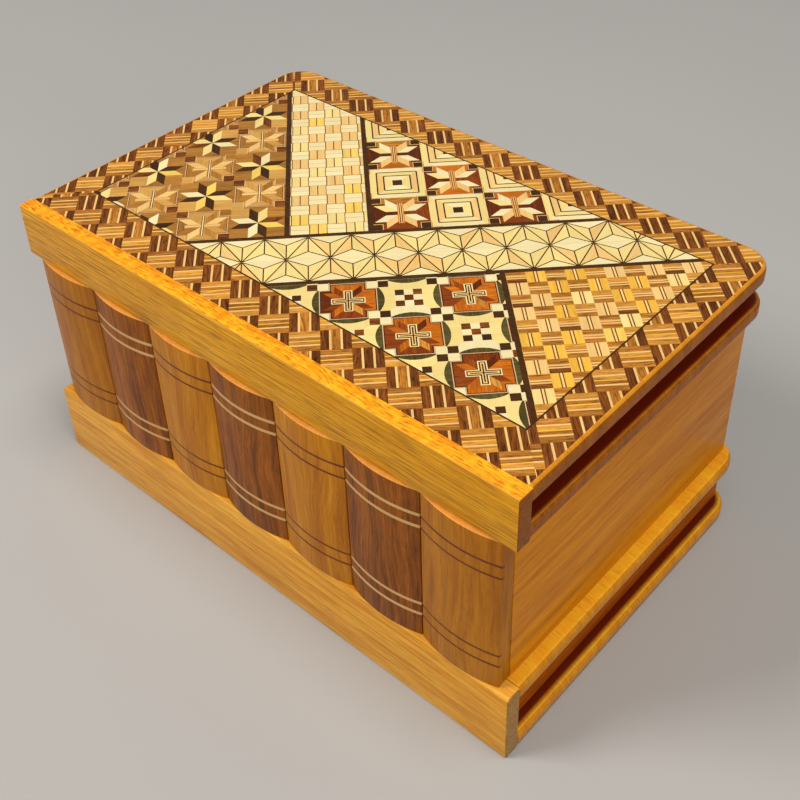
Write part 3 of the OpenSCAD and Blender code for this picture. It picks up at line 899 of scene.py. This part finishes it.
def medallions(area):
    """Notched medallions in dark rings on a pale ground, with little chequers between them."""
    pitch = 22.0
    origin = Vector((36.9, 27.3))
    tiles = []
    for centre in lattice(area, origin, pitch):
        for k, name in enumerate(["pale", "cream", "pale", "pale"]):
            ahead, aside = point(90 * k, pitch / 2), point(90 * k + 90, pitch / 2)
            corner = centre + (point(90 * k, 1) + point(90 * k + 90, 1)) * pitch / 2
            tiles.append(Tile([centre, centre + ahead, corner, centre + aside], name, 45 + 90 * k))
        for k in range(4):
            ring = [centre] + [centre + point(90 * k + 90 * i / 10, 9.35) for i in range(11)]
            tiles.append(Tile(ring, "smoke", 45 + 90 * k))
        tiles.append(Tile(notched(centre, 10.6, 6.9), "blush", 45))
        tiles.append(Tile(notched(centre, 10.25, 6.55), "line", 45))
        fill = notched(centre, 9.85, 6.15)
        for k, woods in enumerate(["orange", "orange rust", "rosewood rust", "orange rust"]):
            tiles.append(Tile([centre, *[fill[(3 * k + n) % 12] for n in (1, 2, 3, 4)]], pick(woods),
                              -45 if k % 2 else 45))
        tiles += petals(centre, 1.2, 1.95, 3.9,
                        ["honey", "rust", "orange", "rosewood", "rust", "orange", "rust", "orange"])
        for length, width, name in ((4.4, 2.3, "cream"), (4.1, 1.7, "line"), (3.8, 1.0, "peach"),
                                    (3.3, 0.35, "line")):
            tiles += cross(centre, length, width, name)
    for centre in lattice(area, origin + Vector((pitch, pitch)) / 2, pitch):
        for i in (-1, 1):
            for j in (-1, 1):
                tiles.append(Tile(diamond(centre + Vector((i, j)) * 1.65, 1.65), "cream", 45))
        for k in range(4):
            tiles.append(Tile(diamond(centre + point(90 * k, 3.3), 1.65), pick("ebony ebony walnut"), 45))
        tiles.append(Tile(diamond(centre, 1.65), pick("rosewood rust"), 45))
    for shift, turn in ((Vector((pitch / 2, 0)), 0), (Vector((0, pitch / 2)), 90)):
        for centre in lattice(area, origin + shift, pitch):
            for side in (-2.0, 2.0):
                tiles.append(Tile(diamond(centre + point(turn, side), 2.0), "cream", 45))
                dark = pick("ebony ebony walnut")
                tiles.append(Tile(diamond(centre + point(turn + 90, side), 1.9), dark, 45))
    return tiles


veneer("marquetry_border_tiles", SHEET, border(), ["marquetry_border"], "marquetry_brown")
PATCHES = [
    ("stars", stars, "marquetry_brown"), ("cream_weave", cream_weave, "marquetry_cream"),
    ("checks", checks, "marquetry_orange"), ("hemp_leaf", hemp_leaf, "marquetry_cream"),
    ("medallions", medallions, "marquetry_orange"), ("gold_weave", gold_weave, "marquetry_yellow"),
]
for part, pattern, slot in PATCHES:
    area = window(f"marquetry_{part}")
    veneer(f"marquetry_{part}_tiles", area, [(area, pattern(area))], [f"marquetry_{part}"], slot)


# ---------- CAD nodes that stay ----------

def paint(node, material):
    """Gives a carried-over CAD node its material."""
    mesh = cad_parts[node].data
    mesh.materials.clear()
    mesh.materials.append(material)


KEPT = {
    "back_wall": "panel_x", "front_wall": "inner_x", "lock_floor": "inner_x", "lock_top": "inner_x",
    "lock_back": "inner_x", **{f"tongue_{k}": "tongue_y" for k in BOOKS},
    "marquetry_bars": "marquetry_bars", "marquetry_outline": "marquetry_outline",
}
for node, key in KEPT.items():
    paint(node, WOODS[key])
for node in ("lock_pins", "hinge_leaves_wall", "hinge_leaves_lid", "hinge_pins", "hinge_screws_wall",
             "hinge_screws_lid"):
    paint(node, BRASS)


# ---------- floor and light ----------
# Places and sizes are in metres here.

LIT = (0, 0, 0.05)


def add_floor(size=6.0):
    """A plain pale paper floor."""
    g = Graph("floor_paper")
    place_of = g.nodes.new("ShaderNodeTexCoord").outputs["Object"]
    g.put(g.mix(g.noise(g.stretch(place_of, 3, 3, 3), 3), rgb(178, 176, 172), rgb(169, 167, 164)),
          g.shader.inputs["Base Color"])
    g.put(g.fit(g.noise(g.stretch(place_of, 60, 60, 60), 3), 0, 1, 0.75, 0.9), g.shader.inputs["Roughness"])
    bm = bmesh.new()
    bmesh.ops.create_grid(bm, x_segments=1, y_segments=1, size=size / 2)
    mesh = bpy.data.meshes.new("floor")
    bm.to_mesh(mesh)
    bm.free()
    mesh.materials.append(g.material)
    floor = bpy.data.objects.new("floor", mesh)
    bpy.context.scene.collection.objects.link(floor)


def add_light(name, place_of, power, size, tint):
    """A round area light that faces the middle of the box."""
    data = bpy.data.lights.new(name, "AREA")
    data.shape, data.size, data.energy, data.color = "DISK", size, power, tint
    light = bpy.data.objects.new(name, data)
    light.location = place_of
    light.rotation_euler = (Vector(LIT) - Vector(place_of)).to_track_quat("-Z", "Y").to_euler()
    bpy.context.scene.collection.objects.link(light)


add_floor()
add_light("key", (-0.65, -0.8, 1.1), power=14, size=0.6, tint=(1, 0.97, 0.93))
add_light("top", (0.24, 0.0, 1.35), power=7.5, size=0.45, tint=(1, 0.98, 0.95))
add_light("fill", (1.15, -0.4, 0.6), power=5.5, size=0.7, tint=(1, 0.97, 0.93))
world = bpy.data.worlds.new("studio")
world.use_nodes = True
world.node_tree.nodes["Background"].inputs["Color"].default_value = (1, 1, 1, 1)
world.node_tree.nodes["Background"].inputs["Strength"].default_value = 0.22
bpy.context.scene.world = world
bpy.context.scene.view_settings.view_transform = "Standard"
